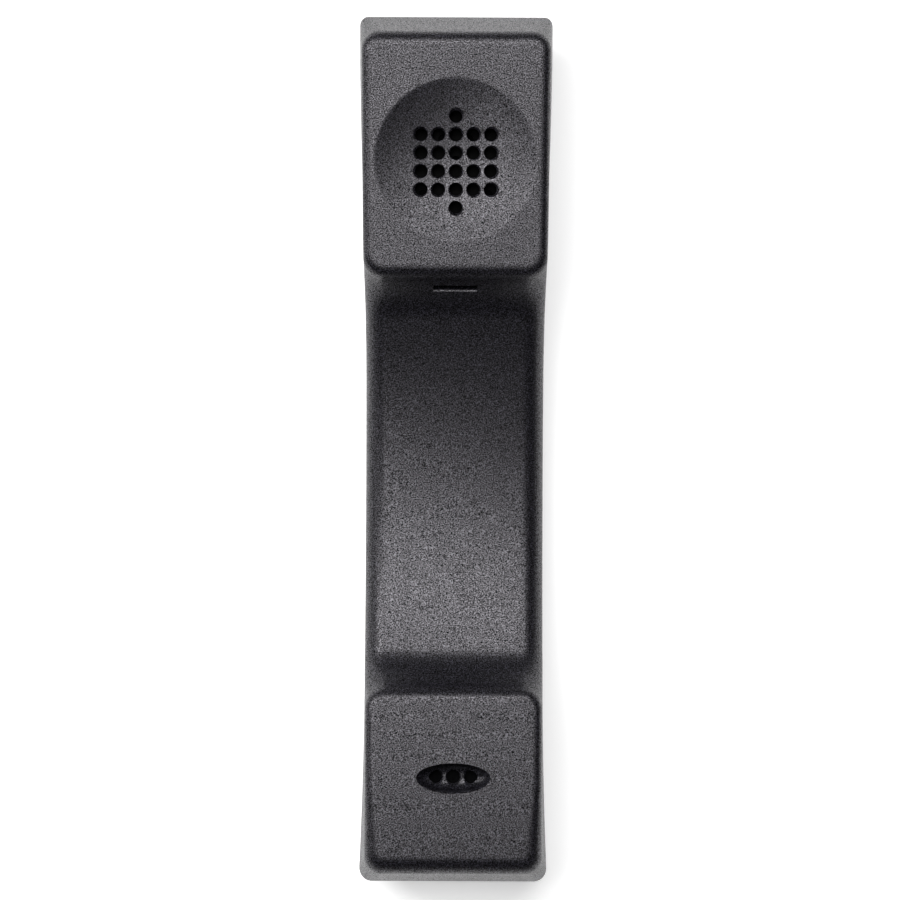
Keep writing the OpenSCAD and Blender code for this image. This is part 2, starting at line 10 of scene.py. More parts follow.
import bpy
import numpy as np
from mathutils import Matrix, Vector


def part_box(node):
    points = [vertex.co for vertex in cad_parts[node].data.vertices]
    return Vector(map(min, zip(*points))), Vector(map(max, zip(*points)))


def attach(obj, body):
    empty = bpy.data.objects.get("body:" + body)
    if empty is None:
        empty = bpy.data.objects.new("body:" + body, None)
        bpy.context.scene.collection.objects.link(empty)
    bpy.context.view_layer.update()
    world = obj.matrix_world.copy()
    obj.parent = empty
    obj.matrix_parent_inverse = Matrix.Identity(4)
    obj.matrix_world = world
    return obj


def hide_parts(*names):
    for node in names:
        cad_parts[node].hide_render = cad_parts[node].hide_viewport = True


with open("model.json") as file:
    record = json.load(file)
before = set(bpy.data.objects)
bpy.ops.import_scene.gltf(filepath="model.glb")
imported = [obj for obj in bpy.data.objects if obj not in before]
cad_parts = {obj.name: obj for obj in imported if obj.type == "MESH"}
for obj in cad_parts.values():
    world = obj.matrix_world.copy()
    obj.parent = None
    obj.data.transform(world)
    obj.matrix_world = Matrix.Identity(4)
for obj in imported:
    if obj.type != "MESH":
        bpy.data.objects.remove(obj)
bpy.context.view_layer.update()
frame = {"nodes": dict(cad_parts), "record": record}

MM = 0.001

# ---------------------------------------------------------------- sizes from the frame


def box_mm(node):
    """Lowest and highest corners of a CAD node, in millimetres."""
    low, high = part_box(node)
    return np.array(low) / MM, np.array(high) / MM


_, FRONT_HIGH = box_mm("front_shell")
CAP_LOW, CAP_HIGH = box_mm("receiver_cap")
_, GASKET_HIGH = box_mm("receiver_gasket")
BOOT_LOW, BOOT_HIGH = box_mm("mic_boot")
_, SCREEN_HIGH = box_mm("mic_screen")
JACK_LOW, JACK_HIGH = box_mm("jack_housing")
PLUG_LOW, PLUG_HIGH = box_mm("screw_plugs")
_, CLAMP_HIGH = box_mm("clamp_screws")
BOARD_LOW, BOARD_HIGH = box_mm("board_screws")
WEIGHT_LOW, _ = box_mm("weight_bar")
_, WEIGHT_SCREW_HIGH = box_mm("weight_screws")

END_Y = FRONT_HIGH[1]
EAR_HALF = FRONT_HIGH[0]
FACE_Z = FRONT_HIGH[2]
DISH_Y = (CAP_LOW[1] + CAP_HIGH[1]) / 2
MIC_Y = (BOOT_LOW[1] + BOOT_HIGH[1]) / 2
SEAT_Z = GASKET_HIGH[2]
MIC_SEAT_Z = SCREEN_HIGH[2]

# Radii of the screws' heads, which show where their bosses stand
CLAMP_HEAD_R = 2.3
BOARD_HEAD_R = 2.0
WEIGHT_HEAD_R = 2.6
CLAMP_BOSS = CLAMP_HIGH[0] - CLAMP_HEAD_R
BOARD_BOSS_X = BOARD_HIGH[0] - BOARD_HEAD_R
BOARD_BOSS_Y = (BOARD_LOW[1] + BOARD_HIGH[1]) / 2
WEIGHT_SCREW_Y = WEIGHT_SCREW_HIGH[1] - WEIGHT_HEAD_R
PLUG_R = (PLUG_HIGH[0] - PLUG_LOW[0]) / 2
SHELL_SCREW_YS = (PLUG_HIGH[1] - PLUG_R, PLUG_LOW[1] + PLUG_R)

# Outline of the rim
GRIP_HALF = 21.3
MOUTH_HALF = 22.4
EAR_FLARE_START = 15.0
MOUTH_FLARE_START = -50.0
MOUTH_FLARE_END = 3.5 - END_Y
EAR_CORNER_R = 2.0
MOUTH_CORNER_R = 3.0
CORNER_BLEND_LENGTH = 20

# Back and parting line
WALL = 2.2
BACK_FLAT = 36.0
END_RISE = 7.0
BACK_ARC_R = ((END_Y - BACK_FLAT) ** 2 + END_RISE**2) / (2 * END_RISE)
BACK_EDGE_R = 8.0
BACK_END_R = 4.0
BACK_END_START = 84
BACK_END_LENGTH = 16
PARTING_LOW_Z = 12.0
RIM_Z = 22.0
PARTING_R = (END_Y**2 + (RIM_Z - PARTING_LOW_Z) ** 2) / (2 * (RIM_Z - PARTING_LOW_Z))
# Half the gap between the shells, and how far each is made too long before it is cut
PARTING_GAP = 0.12
PARTING_SPARE = 1.0

# Grip
GRIP_LOW_Z = 20.5
GRIP_CENTRE_Y = -9.5
GRIP_ARC_R = 140.0
GRIP_CROWN = 0.5
FILLET_R = 6.0
SHOULDER_R = 5.0

# Blocks. Each wall leans from its foot at the rim to its shoulder, a little under the face.
SHOULDER_DROP = 2.0
SHOULDER_Z = FACE_Z - SHOULDER_DROP
MOUTH_DROP = 2.0
# edge_in and edge_out are the radii of the face's edges at the inner and the outer end.
Block = namedtuple(
    "Block", "sign inner_foot inner_top outer_top half_in half_out z_in crown edge_in edge_out"
)
EAR = Block(1, 36.0, 40.4, 98.8, 21.8, 22.5, FACE_Z, 0.0, 2.0, 2.0)
MOUTH = Block(-1, 52.8, 57.1, 100.3, 20.9, 20.9, FACE_Z - MOUTH_DROP, 0.3, 1.8, 3.2)
BLOCK_CORNER_R = 4.3
EDGE_BLEND_LENGTH = 20
# Where the sides start to lean in towards each block, and over what length
EAR_LEAN_START = 20
MOUTH_LEAN_START = 38
LEAN_LENGTH = 22

# Dish, holes and slots
DISH_R = 19.3
DISH_DEPTH = 2.4
DISH_SPHERE_R = (DISH_R**2 + DISH_DEPTH**2) / (2 * DISH_DEPTH)
DISH_CENTRE_Z = FACE_Z - DISH_DEPTH + DISH_SPHERE_R
DISH_WALL = 2.0
EAR_HOLE_R = 1.5
EAR_COLUMN = 4.1
EAR_ROW = 4.3
EAR_HOLES_Y = DISH_Y - 0.5
EAR_CHAMFER = 0.25
MIC_SLOT_L = 17.0
MIC_SLOT_W = 6.6
MIC_FACE_Z = FACE_Z - 1.0
MIC_FLOOR_Z = MIC_SEAT_Z + 1.1
MIC_HOLE_R = 1.6
MIC_HOLE_PITCH = 4.3
MIC_CHAMFER = 0.2
MIC_SLOT_CHAMFER = 0.3
HANG_SLOT_W = 10.4
HANG_SLOT_Z = (30.8, 32.4)
COUNTERBORE_R = 3.5
HEAD_SEAT_Z = 11.0
BOSS_SPLIT_Z = 14.0

# Collars that hold the receiver and the microphone
COLLAR_R = 18.0
COLLAR_DEPTH = 4.5
SEAT_RING_R = 13.0
RECEIVER_FIT_R = 16.6
MIC_PAD_R = 9.6
MIC_FIT_R = 6.7
MIC_COLLAR_R = 8.2
MIC_COLLAR_DEPTH = 5.5

# Screw bosses, as (radius of the hole, radius of the boss)
CLAMP_BOSS_RS = (1.25, 2.6)
CLAMP_BOSS_Z = 22.4
FRONT_BOSS_RS = (1.45, 3.2)
REAR_BOSS_RS = (1.6, 4.8)
WEIGHT_BOSS_RS = (1.25, 3.0)
BOARD_BOSS_RS = (1.15, 2.4)

# Ribs beside the jack
RIB_GAP = 0.7
RIB_HALF_T = 0.5
RIB_CENTRE_Y = -96.2
RIB_HALF_LENGTH = 4.8
RIB_TOP_Z = 12

NET_PITCH = 0.66


# ---------------------------------------------------------------- shell formulas (signed distances)


def smooth(u):
    """An eased step from 0 to 1."""
    u = np.clip(u, 0.0, 1.0)
    return u * u * (3 - 2 * u)


def lerp(a, b, u):
    return a + (b - a) * u


def both(a, b, r):
    """What lies in both shapes, with the edge between them rounded to radius r."""
    rounded = np.hypot(np.maximum(a + r, 0), np.maximum(b + r, 0))
    return np.minimum(np.maximum(a + r, b + r), 0) + rounded - r


def either(a, b, r):
    """What lies in one shape or the other, with a hollow fillet of radius r between them."""
    return -both(-a, -b, r)


def half_width(y):
    """Half the width of the rim."""
    ear = smooth((y - EAR_FLARE_START) / (END_Y - EAR_FLARE_START))
    mouth = np.clip((y - MOUTH_FLARE_START) / (MOUTH_FLARE_END - MOUTH_FLARE_START), 0, 1) ** 2
    return GRIP_HALF + (EAR_HALF - GRIP_HALF) * ear + (MOUTH_HALF - GRIP_HALF) * mouth


def lean(z):
    """0 at the rim and below it, 1 at the shoulders of the blocks."""
    return np.maximum(0, (z - RIM_Z) / (SHOULDER_Z - RIM_Z))


def rim_corner(y):
    """Radius of the rim's upright corners."""
    return lerp(MOUTH_CORNER_R, EAR_CORNER_R, smooth(y / CORNER_BLEND_LENGTH + 0.5))


def face_height(block, along):
    """Height of a block's face, which rises to FACE_Z at the outer end and may be crowned."""
    u = np.clip((along - block.inner_top) / (block.outer_top - block.inner_top), -0.2, 1.2)
    return lerp(block.z_in, FACE_Z, u) + block.crown * 4 * u * (1 - u)


def side_half(y, z):
    """Half width of the front shell, whose side walls lean in on the two blocks."""
    u = (y - EAR.inner_top) / (EAR.outer_top - EAR.inner_top)
    top = np.where(y > 0, lerp(EAR.half_in, EAR.half_out, u), MOUTH.half_in)
    on_ear = smooth((y - EAR_LEAN_START) / LEAN_LENGTH)
    on_mouth = smooth((-y - MOUTH_LEAN_START) / LEAN_LENGTH)
    return half_width(y) - (half_width(y) - top) * lean(z) * np.maximum(on_ear, on_mouth)


def front_end(block, x, y, z):
    """The upper body on one block's side of the grip. The block's walls meet in rounded upright
    corners, its inner wall runs into the arc of the grip in a hollow fillet, and its face has
    rounded edges."""
    along = y * block.sign
    run = SHOULDER_Z - RIM_Z
    outer = along - lerp(END_Y, block.outer_top, lean(z))
    inner = lerp(block.inner_foot, block.inner_top, lean(z)) - along
    outer = outer / math.hypot(1, (END_Y - block.outer_top) / run)
    inner = inner / math.hypot(1, (block.inner_top - block.inner_foot) / run)
    face = z - face_height(block, along)
    arc = GRIP_ARC_R - np.hypot(y - GRIP_CENTRE_Y, z - GRIP_LOW_Z - GRIP_ARC_R)
    arc = arc + GRIP_CROWN * (x / GRIP_HALF) ** 2
    side = np.abs(x) - side_half(y, z)
    corner_r = lerp(rim_corner(y), BLOCK_CORNER_R, np.clip(lean(z), 0, 1))
    walls = both(both(side, outer, corner_r), either(inner, arc, FILLET_R), SHOULDER_R)
    to_outer_end = smooth((along - block.inner_top) / EDGE_BLEND_LENGTH - 1)
    edge_r = lerp(block.edge_in, block.edge_out, to_outer_end)
    return both(walls, face, edge_r)


def front_body(x, y, z):
    """The solid upper body."""
    return np.where(y > GRIP_CENTRE_Y, front_end(EAR, x, y, z), front_end(MOUTH, x, y, z))


def rear_body(x, y, z):
    """The solid lower body, open upwards."""
    beyond = np.maximum(np.abs(y) - BACK_FLAT, 0)
    back = BACK_ARC_R - z - np.sqrt(np.maximum(BACK_ARC_R**2 - beyond**2, 1))
    outline = both(np.abs(x) - half_width(y), np.abs(y) - END_Y, rim_corner(y))
    edge = lerp(BACK_EDGE_R, BACK_END_R, smooth((np.abs(y) - BACK_END_START) / BACK_END_LENGTH))
    return both(outline, back, edge)


def body(x, y, z):
    """The solid handset."""
    return np.maximum(front_body(x, y, z), rear_body(x, y, z))


def parting(y, z):
    """Negative above the curved parting line."""
    return np.hypot(y, z - PARTING_LOW_Z - PARTING_R) - PARTING_R


def pillar(x, y, z, centre, r, low, high):
    """An upright cylinder between two heights."""
    return np.maximum(np.hypot(x - centre[0], y - centre[1]) - r, np.maximum(low - z, z - high))


def tube(x, y, z, centre, r_in, r_out, low, high):
    """An upright ring between two heights."""
    from_axis = np.hypot(x - centre[0], y - centre[1])
    return np.maximum(pillar(x, y, z, centre, r_out, low, high), r_in - from_axis)


def front_form(x, y, z):
    """The front shell without its dish, holes and slots, a little too long at the parting line."""
    solid = body(x, y, z)
    from_dish = np.sqrt(x**2 + (y - DISH_Y) ** 2 + (z - DISH_CENTRE_Z) ** 2)
    cavity = np.maximum(solid + WALL, DISH_SPHERE_R + DISH_WALL - from_dish)
    walls = np.maximum(np.maximum(solid, -cavity), parting(y, z) - PARTING_SPARE)
    fittings = [
        tube(x, y, z, (0, DISH_Y), SEAT_RING_R, COLLAR_R, SEAT_Z, FACE_Z - 1),
        tube(x, y, z, (0, DISH_Y), RECEIVER_FIT_R, COLLAR_R, SEAT_Z - COLLAR_DEPTH, FACE_Z - 1),
        pillar(x, y, z, (0, MIC_Y), MIC_PAD_R, MIC_SEAT_Z, MIC_FACE_Z - 1),
        tube(x, y, z, (0, MIC_Y), MIC_FIT_R, MIC_COLLAR_R, MIC_SEAT_Z - MIC_COLLAR_DEPTH, MIC_FACE_Z - 1),
    ]
    for side in (-1, 1):
        centre = (side * CLAMP_BOSS, DISH_Y + side * CLAMP_BOSS)
        fittings.append(tube(x, y, z, centre, *CLAMP_BOSS_RS, CLAMP_BOSS_Z, FACE_Z - 2))
    for screw_y, top in zip(SHELL_SCREW_YS, (FACE_Z - 2, FACE_Z - 3)):
        fittings.append(tube(x, y, z, (0, screw_y), *FRONT_BOSS_RS, BOSS_SPLIT_Z, top))
    for fitting in fittings:
        walls = np.minimum(walls, fitting)
    return walls


def rear_form(x, y, z):
    """The rear shell without its counterbores and window, a little too long at the parting line."""
    solid = body(x, y, z)
    walls = np.maximum(np.maximum(solid, -(solid + WALL)), -parting(y, z) - PARTING_SPARE)
    fittings = [
        tube(x, y, z, (0, screw_y), *REAR_BOSS_RS, 0, BOSS_SPLIT_Z) for screw_y in SHELL_SCREW_YS
    ]
    for side in (-1, 1):
        board_boss = (side * BOARD_BOSS_X, BOARD_BOSS_Y)
        weight_boss = (0, side * WEIGHT_SCREW_Y)
        rib_x = side * (JACK_HIGH[0] + RIB_GAP)
        rib_length = np.maximum(np.abs(y - RIB_CENTRE_Y) - RIB_HALF_LENGTH, z - RIB_TOP_Z)
        rib = np.maximum(np.abs(x - rib_x) - RIB_HALF_T, rib_length)
        fittings.append(tube(x, y, z, weight_boss, *WEIGHT_BOSS_RS, 1.0, WEIGHT_LOW[2]))
        fittings.append(tube(x, y, z, board_boss, *BOARD_BOSS_RS, 2.0, JACK_HIGH[2]))
        fittings.append(rib)
    for fitting in fittings:
        walls = np.minimum(walls, np.maximum(fitting, solid + 1))
    return walls


# ---------------------------------------------------------------- from a formula to a mesh

CORNERS = np.array([(i, j, k) for i in (0, 1) for j in (0, 1) for k in (0, 1)])
CELL_EDGES = [
    (a, b) for a in range(8) for b in range(a + 1, 8) if abs(CORNERS[a] - CORNERS[b]).sum() == 1
]


def gradient(form, p, step=0.01):
    """Slope of a form at each point."""
    slopes = []
    for axis in range(3):
        shift = np.zeros(3)
        shift[axis] = step
        slopes.append((form(*(p + shift).T) - form(*(p - shift).T)) / (2 * step))
    return np.array(slopes).T


def pull(form, p, reach, steps=4):
    """Moves points onto the surface where form is zero, by at most reach a step."""
    for _ in range(steps):
        slope = gradient(form, p)
        move = -form(*p.T)[:, None] * slope / np.maximum((slope**2).sum(1), 0.05)[:, None]
        length = np.linalg.norm(move, axis=1)[:, None]
        p = p + move * np.minimum(1, reach / np.maximum(length, 1e-9))
    return p


def surface_net(form, low, high, pitch):
    """Vertices and quads of the surface where form is zero."""
    axes = [np.arange(a, b + pitch, pitch) for a, b in zip(low, high)]
    x, y, z = np.meshgrid(*axes, indexing="ij")
    value = form(x, y, z)
    inside = value < 0
    shape = np.array(value.shape) - 1
    nx, ny, nz = shape
    count = sum(inside[i : i + nx, j : j + ny, k : k + nz].astype(int) for i, j, k in CORNERS)
    cells = np.argwhere((count > 0) & (count < 8))
    at_corner = [value[tuple((cells + c).T)] for c in CORNERS]
    total = np.zeros((len(cells), 3))
    crossings = np.zeros(len(cells))
    for a, b in CELL_EDGES:
        crosses = (at_corner[a] < 0) != (at_corner[b] < 0)
        span = np.where(crosses, at_corner[a] - at_corner[b], 1)
        place = CORNERS[a] + (at_corner[a] / span)[:, None] * (CORNERS[b] - CORNERS[a])
        total += np.where(crosses[:, None], place, 0)
        crossings += crosses
    points = np.array(low) + pitch * (cells + total / crossings[:, None])
    points = pull(form, points, 0.3 * pitch)

    number = -np.ones(shape, dtype=int)
    number[tuple(cells.T)] = np.arange(len(cells))
    quads = []
    for axis in range(3):
        b, c = (axis + 1) % 3, (axis + 2) % 3
        ahead = np.roll(inside, -1, axis)
        keep = [slice(1, -1)] * 3
        keep[axis] = slice(0, -1)
        changes = np.zeros_like(inside)
        changes[tuple(keep)] = (inside != ahead)[tuple(keep)]
        at = np.argwhere(changes)
        ring = []
        for db, dc in ((-1, -1), (0, -1), (0, 0), (-1, 0)):
            cell = at.copy()
            cell[:, b] += db
            cell[:, c] += dc
            ring.append(number[tuple(cell.T)])
        quad = np.array(ring).T
        outward = inside[tuple(at.T)]
        quads.append(np.where(outward[:, None], quad, quad[:, ::-1]))
    return points, np.concatenate(quads)


def new_piece(name, vertices, faces):
    """A mesh object from points in millimetres."""
    mesh = bpy.data.meshes.new(name)
    mesh.from_pydata((np.asarray(vertices) * MM).tolist(), [], [list(map(int, f)) for f in faces])
    mesh.validate()
    piece = bpy.data.objects.new(name, mesh)
    bpy.context.collection.objects.link(piece)
    return piece


def lathe(profile, centre, sides=48):
    """Vertices and faces of a closed shape turned from (radius, z) points, bottom to top,
    the first and last of them on the axis."""
    turns = [2 * math.pi * i / sides for i in range(sides)]
    vertices = [(centre[0], centre[1], profile[0][1])]
    for r, z in profile[1:-1]:
        vertices += [(centre[0] + r * math.cos(a), centre[1] + r * math.sin(a), z) for a in turns]
    vertices.append((centre[0], centre[1], profile[-1][1]))
    faces = []
    rings = len(profile) - 2
    for i in range(sides):
        j = (i + 1) % sides
        faces.append((0, 1 + j, 1 + i))
        for ring in range(rings - 1):
            a, b = 1 + ring * sides, 1 + (ring + 1) * sides
            faces.append((a + i, a + j, b + j, b + i))
        top = 1 + (rings - 1) * sides
        faces.append((top + i, top + j, len(vertices) - 1))
    return vertices, faces


def joined(shapes):
    """One list of vertices and faces from several."""
    vertices, faces = [], []
    for part_vertices, part_faces in shapes:
        start = len(vertices)
        vertices += list(part_vertices)
        faces += [tuple(start + i for i in face) for face in part_faces]
    return vertices, faces


def block_shape(low, high):
    """A box between two corners."""
    spans = list(zip(low, high))
    vertices = [(x, y, z) for x in spans[0] for y in spans[1] for z in spans[2]]
    faces = [(0, 1, 3, 2), (4, 6, 7, 5), (0, 4, 5, 1), (2, 3, 7, 6), (0, 2, 6, 4), (1, 5, 7, 3)]
    return vertices, faces


def carve(piece, shapes):
    """Cuts each (vertices, faces) shape out of a piece, in turn."""
    cutters = [new_piece("cutter", *shape) for shape in shapes]
    for cutter in cutters:
        cut = piece.modifiers.new("carve", "BOOLEAN")
        cut.operation = "DIFFERENCE"
        cut.solver = "EXACT"
        cut.object = cutter
    bpy.context.view_layer.update()
    result = bpy.data.meshes.new_from_object(piece.evaluated_get(bpy.context.evaluated_depsgraph_get()))
    piece.modifiers.clear()
    whole = piece.data
    piece.data = result
    bpy.data.meshes.remove(whole)
    for cutter in cutters:
        bpy.data.objects.remove(cutter)


def shade(piece, sharp_degrees):
    """Smooth shading, except across edges sharper than the angle."""
    for polygon in piece.data.polygons:
        polygon.use_smooth = True
    piece.data.set_sharp_from_angle(angle=math.radians(sharp_degrees))


# ---------------------------------------------------------------- cutters


def prism(section, half):
    """A closed shape from x = -half to x = half, whose (y, z) outline runs anticlockwise as
    seen from +X."""
    sides = len(section)
    vertices = [(x, y, z) for x in (-half, half) for y, z in section]
    faces = [tuple(reversed(range(sides))), tuple(range(sides, 2 * sides))]
    faces += [(i, (i + 1) % sides, (i + 1) % sides + sides, i + sides) for i in range(sides)]
    return vertices, faces


def parting_cutter(side):
    """All that lies above the parting line (side 1) or below it (side -1), and half the gap."""
    steps = 120
    reach = END_Y + 3
    radius = PARTING_R + side * PARTING_GAP
    along = [reach * (2 * i / steps - 1) for i in range(steps + 1)]
    section = [(y, PARTING_LOW_Z + PARTING_R - math.sqrt(radius**2 - y**2)) for y in along]
    far = PARTING_LOW_Z + side * 20
    section += [(reach, far), (-reach, far)]
    return prism(section[::side], EAR_HALF + 3)


def dish_surface(rho):
    """Height of the dish's surface at a distance from its centre."""
    return DISH_CENTRE_Z - math.sqrt(DISH_SPHERE_R**2 - rho**2)


def dish_cutter():
    steps = 20
    rim = DISH_R + 1.5
    profile = [(rim * i / steps, dish_surface(rim * i / steps)) for i in range(steps + 1)]
    return lathe(profile + [(rim, FACE_Z + 4), (0, FACE_Z + 4)], (0, DISH_Y), 160)


def ear_hole_places():
    """Five columns of four holes, with one more above and one below the middle column."""
    rows = (-1.5, -0.5, 0.5, 1.5)
    places = [(c * EAR_COLUMN, EAR_HOLES_Y + r * EAR_ROW) for c in range(-2, 3) for r in rows]
    return places + [(0, EAR_HOLES_Y + r * EAR_ROW) for r in (-2.5, 2.5)]


def drilled(place, r, surface_z, bottom_z, chamfer):
    """A hole's cutter, with a chamfer where it meets the surface."""
    over = 0.6
    top = surface_z + over
    profile = [(0, bottom_z), (r, bottom_z), (r, surface_z - chamfer), (r + chamfer + over, top), (0, top)]
    return lathe(profile, place, 40)


def ear_hole_cutter():
    holes = []
    for x, y in ear_hole_places():
        surface_z = dish_surface(math.hypot(x, y - DISH_Y))
        holes.append(drilled((x, y), EAR_HOLE_R, surface_z, SEAT_Z - 1, EAR_CHAMFER))
    return joined(holes)


def mic_slot_cutter():
    """The oval recess: a bowl with a flat middle and a chamfered mouth."""
    sides = 96
    over = 1.5
    top = MIC_FACE_Z + 0.25
    depth = top - MIC_FLOOR_Z
    half_l, half_w = MIC_SLOT_L / 2, MIC_SLOT_W / 2
    rings = []
    for share in (0.35, 0.5, 0.65, 0.8, 0.9, 0.96):
        rise = depth * (1 - math.sqrt(1 - share**3))
        rings.append((share * half_l, share * half_w, MIC_FLOOR_Z + rise))
    rings.append((half_l, half_w, top - MIC_SLOT_CHAMFER))
    spread_out = MIC_SLOT_CHAMFER + over
    rings.append((half_l + spread_out, half_w + spread_out, top + over))
    turns = [2 * math.pi * i / sides for i in range(sides)]
    vertices = [(a * math.cos(t), MIC_Y + b * math.sin(t), z) for a, b, z in rings for t in turns]
    faces = [tuple(reversed(range(sides)))]
    for ring in range(len(rings) - 1):
        low, high = ring * sides, (ring + 1) * sides
        for i in range(sides):
            j = (i + 1) % sides
            faces.append((low + i, low + j, high + j, high + i))
    faces.append(tuple(range((len(rings) - 1) * sides, len(rings) * sides)))
    return vertices, faces


def mic_hole_cutter():
    places = [(i * MIC_HOLE_PITCH, MIC_Y) for i in (-1, 0, 1)]
    return joined(drilled(place, MIC_HOLE_R, MIC_FLOOR_Z, MIC_SEAT_Z - 1, MIC_CHAMFER) for place in places)


def hang_slot_cutter():
    """The hanger slot, whose lower lip slopes down inwards."""
    low, high = HANG_SLOT_Z
    out, lip, back = EAR.inner_foot - 1, EAR.inner_foot + 1.8, EAR.inner_top + 3
    section = [(out, low), (lip, low), (back, low - 4), (back, high), (out, high)]
    return prism(section, HANG_SLOT_W / 2)


def counterbore_cutter():
    """The two wells in the back that the shell screws go down."""
    profile = [(0, -2), (COUNTERBORE_R, -2), (COUNTERBORE_R, HEAD_SEAT_Z), (0, HEAD_SEAT_Z)]
    return joined(lathe(profile, (0, screw_y), 64) for screw_y in SHELL_SCREW_YS)


def jack_window_cutter():
    """The opening in the end wall that the jack's face fills."""
    gap = 0.08
    low = (JACK_LOW[0] - gap, -END_Y - 1, JACK_LOW[2] - gap)
    return block_shape(low, (JACK_HIGH[0] + gap, -END_Y + 4, JACK_HIGH[2] + gap))


# ---------------------------------------------------------------- materials


def node_material(name):
    """A new material, its nodes, its links and its shader."""
    material = bpy.data.materials.new(name)
    material.use_nodes = True
    nodes = material.node_tree.nodes
    return material, nodes, material.node_tree.links, nodes["Principled BSDF"]


def noise(nodes, links, scale, detail=2.0, stretch=(1, 1, 1)):
    place = nodes.new("ShaderNodeTexCoord")
    mapping = nodes.new("ShaderNodeMapping")
    mapping.inputs["Scale"].default_value = stretch
    texture = nodes.new("ShaderNodeTexNoise")
    texture.inputs["Scale"].default_value = scale
    texture.inputs["Detail"].default_value = detail
    links.new(place.outputs["Object"], mapping.inputs["Vector"])
    links.new(mapping.outputs["Vector"], texture.inputs["Vector"])
    return texture.outputs["Fac"]


def ramp(nodes, links, source, stops):
    node = nodes.new("ShaderNodeValToRGB")
    while len(node.color_ramp.elements) < len(stops):
        node.color_ramp.elements.new(0.5)
    for element, (position, colour) in zip(node.color_ramp.elements, stops):
        element.position = position
        element.color = (*colour, 1)
    links.new(source, node.inputs["Fac"])
    return node.outputs["Color"]


def spread(nodes, links, source, low, high):
    """Stretches the middle of a noise over a range of values."""
    node = nodes.new("ShaderNodeMapRange")
    node.inputs["From Min"].default_value = 0.3
    node.inputs["From Max"].default_value = 0.7
    node.inputs["To Min"].default_value = low
    node.inputs["To Max"].default_value = high
    links.new(source, node.inputs["Value"])
    return node.outputs["Result"]


def bump(nodes, links, source, shader, depth_mm):
    node = nodes.new("ShaderNodeBump")
    node.inputs["Strength"].default_value = 1.0
    node.inputs["Distance"].default_value = depth_mm * MM
    links.new(source, node.inputs["Height"])
    links.new(node.outputs["Normal"], shader.inputs["Normal"])


def tint(colour, factor):
    """A colour made lighter or darker."""
    return tuple(min(1, c * factor) for c in colour)


def grained_plastic(name, colour, rough, grain_mm, depth_mm):
    """Moulded plastic with a spark-eroded grain: fine craters whose crests catch the light, partly through
    real changes of roughness and specular level and partly through glints painted into the colour as
    bright specks.
    """
    material, nodes, links, shader = node_material(name)
    grain_and_glints = noise(nodes, links, 1 / (grain_mm * MM), 1.0)
    craters = noise(nodes, links, 0.8 / (grain_mm * MM), 2.0, (1.0, 1.1, 1.0))
    # The top stop, ten times the base colour, paints glints on the grain's crests; the lower stops vary
    # the grain's own tone.
    stops = [(0.42, tint(colour, 0.3)), (0.54, tint(colour, 0.8)), (0.68, tint(colour, 10))]
    links.new(ramp(nodes, links, grain_and_glints, stops), shader.inputs["Base Color"])
    links.new(spread(nodes, links, grain_and_glints, rough + 0.11, rough - 0.11), shader.inputs["Roughness"])
    links.new(spread(nodes, links, grain_and_glints, 0.0, 1.0), shader.inputs["Specular IOR Level"])
    shader.inputs["Specular Tint"].default_value = (0.97, 0.94, 1.0, 1)
    bump(nodes, links, craters, shader, depth_mm)
    return material


def smooth_plastic(name, colour, rough, coat=0.0, level=0.5):
    """Smooth moulded plastic or lacquer, with slight sink and handling marks."""
    material, nodes, links, shader = node_material(name)
    marks = noise(nodes, links, 350, 4.0)
    stops = [(0.3, tint(colour, 0.85)), (0.7, tint(colour, 1.15))]
    links.new(ramp(nodes, links, marks, stops), shader.inputs["Base Color"])
    links.new(spread(nodes, links, marks, rough - 0.06, rough + 0.08), shader.inputs["Roughness"])
    bump(nodes, links, noise(nodes, links, 1500, 2.0), shader, 0.004)
    shader.inputs["Coat Weight"].default_value = coat
    shader.inputs["Specular IOR Level"].default_value = level
    return material


def metal(name, colour, rough, stretch=(1, 1, 1), depth_mm=0.004):
    """Plated or ground metal, with marks drawn out along one axis."""
    material, nodes, links, shader = node_material(name)
    shader.inputs["Metallic"].default_value = 1.0
    marks = noise(nodes, links, 900, 3.0, stretch)
    stops = [(0.3, tint(colour, 0.8)), (0.7, tint(colour, 1.12))]
    links.new(ramp(nodes, links, marks, stops), shader.inputs["Base Color"])
    links.new(spread(nodes, links, marks, rough - 0.08, rough + 0.12), shader.inputs["Roughness"])
    bump(nodes, links, marks, shader, depth_mm)
    return material


def foam(name, colour):
    """Open cells."""
    material, nodes, links, shader = node_material(name)
    place = nodes.new("ShaderNodeTexCoord")
    cells = nodes.new("ShaderNodeTexVoronoi")
    cells.inputs["Scale"].default_value = 2200
    links.new(place.outputs["Object"], cells.inputs["Vector"])
    stops = [(0.1, tint(colour, 0.35)), (0.6, tint(colour, 1.3))]
    links.new(ramp(nodes, links, cells.outputs["Distance"], stops), shader.inputs["Base Color"])
    shader.inputs["Roughness"].default_value = 0.9
    bump(nodes, links, cells.outputs["Distance"], shader, 0.15)
    return material


def felt(name, colour, sheen=0.3, level=0.5):
    """Pressed fibres with a soft sheen."""
    material, nodes, links, shader = node_material(name)
    fibres = noise(nodes, links, 2500, 5.0, (1, 0.3, 1))
    stops = [(0.25, tint(colour, 0.6)), (0.75, tint(colour, 1.15))]
    links.new(ramp(nodes, links, fibres, stops), shader.inputs["Base Color"])
    shader.inputs["Roughness"].default_value = 0.95
    shader.inputs["Sheen Weight"].default_value = sheen
    shader.inputs["Specular IOR Level"].default_value = level
    bump(nodes, links, fibres, shader, 0.05)
    return material


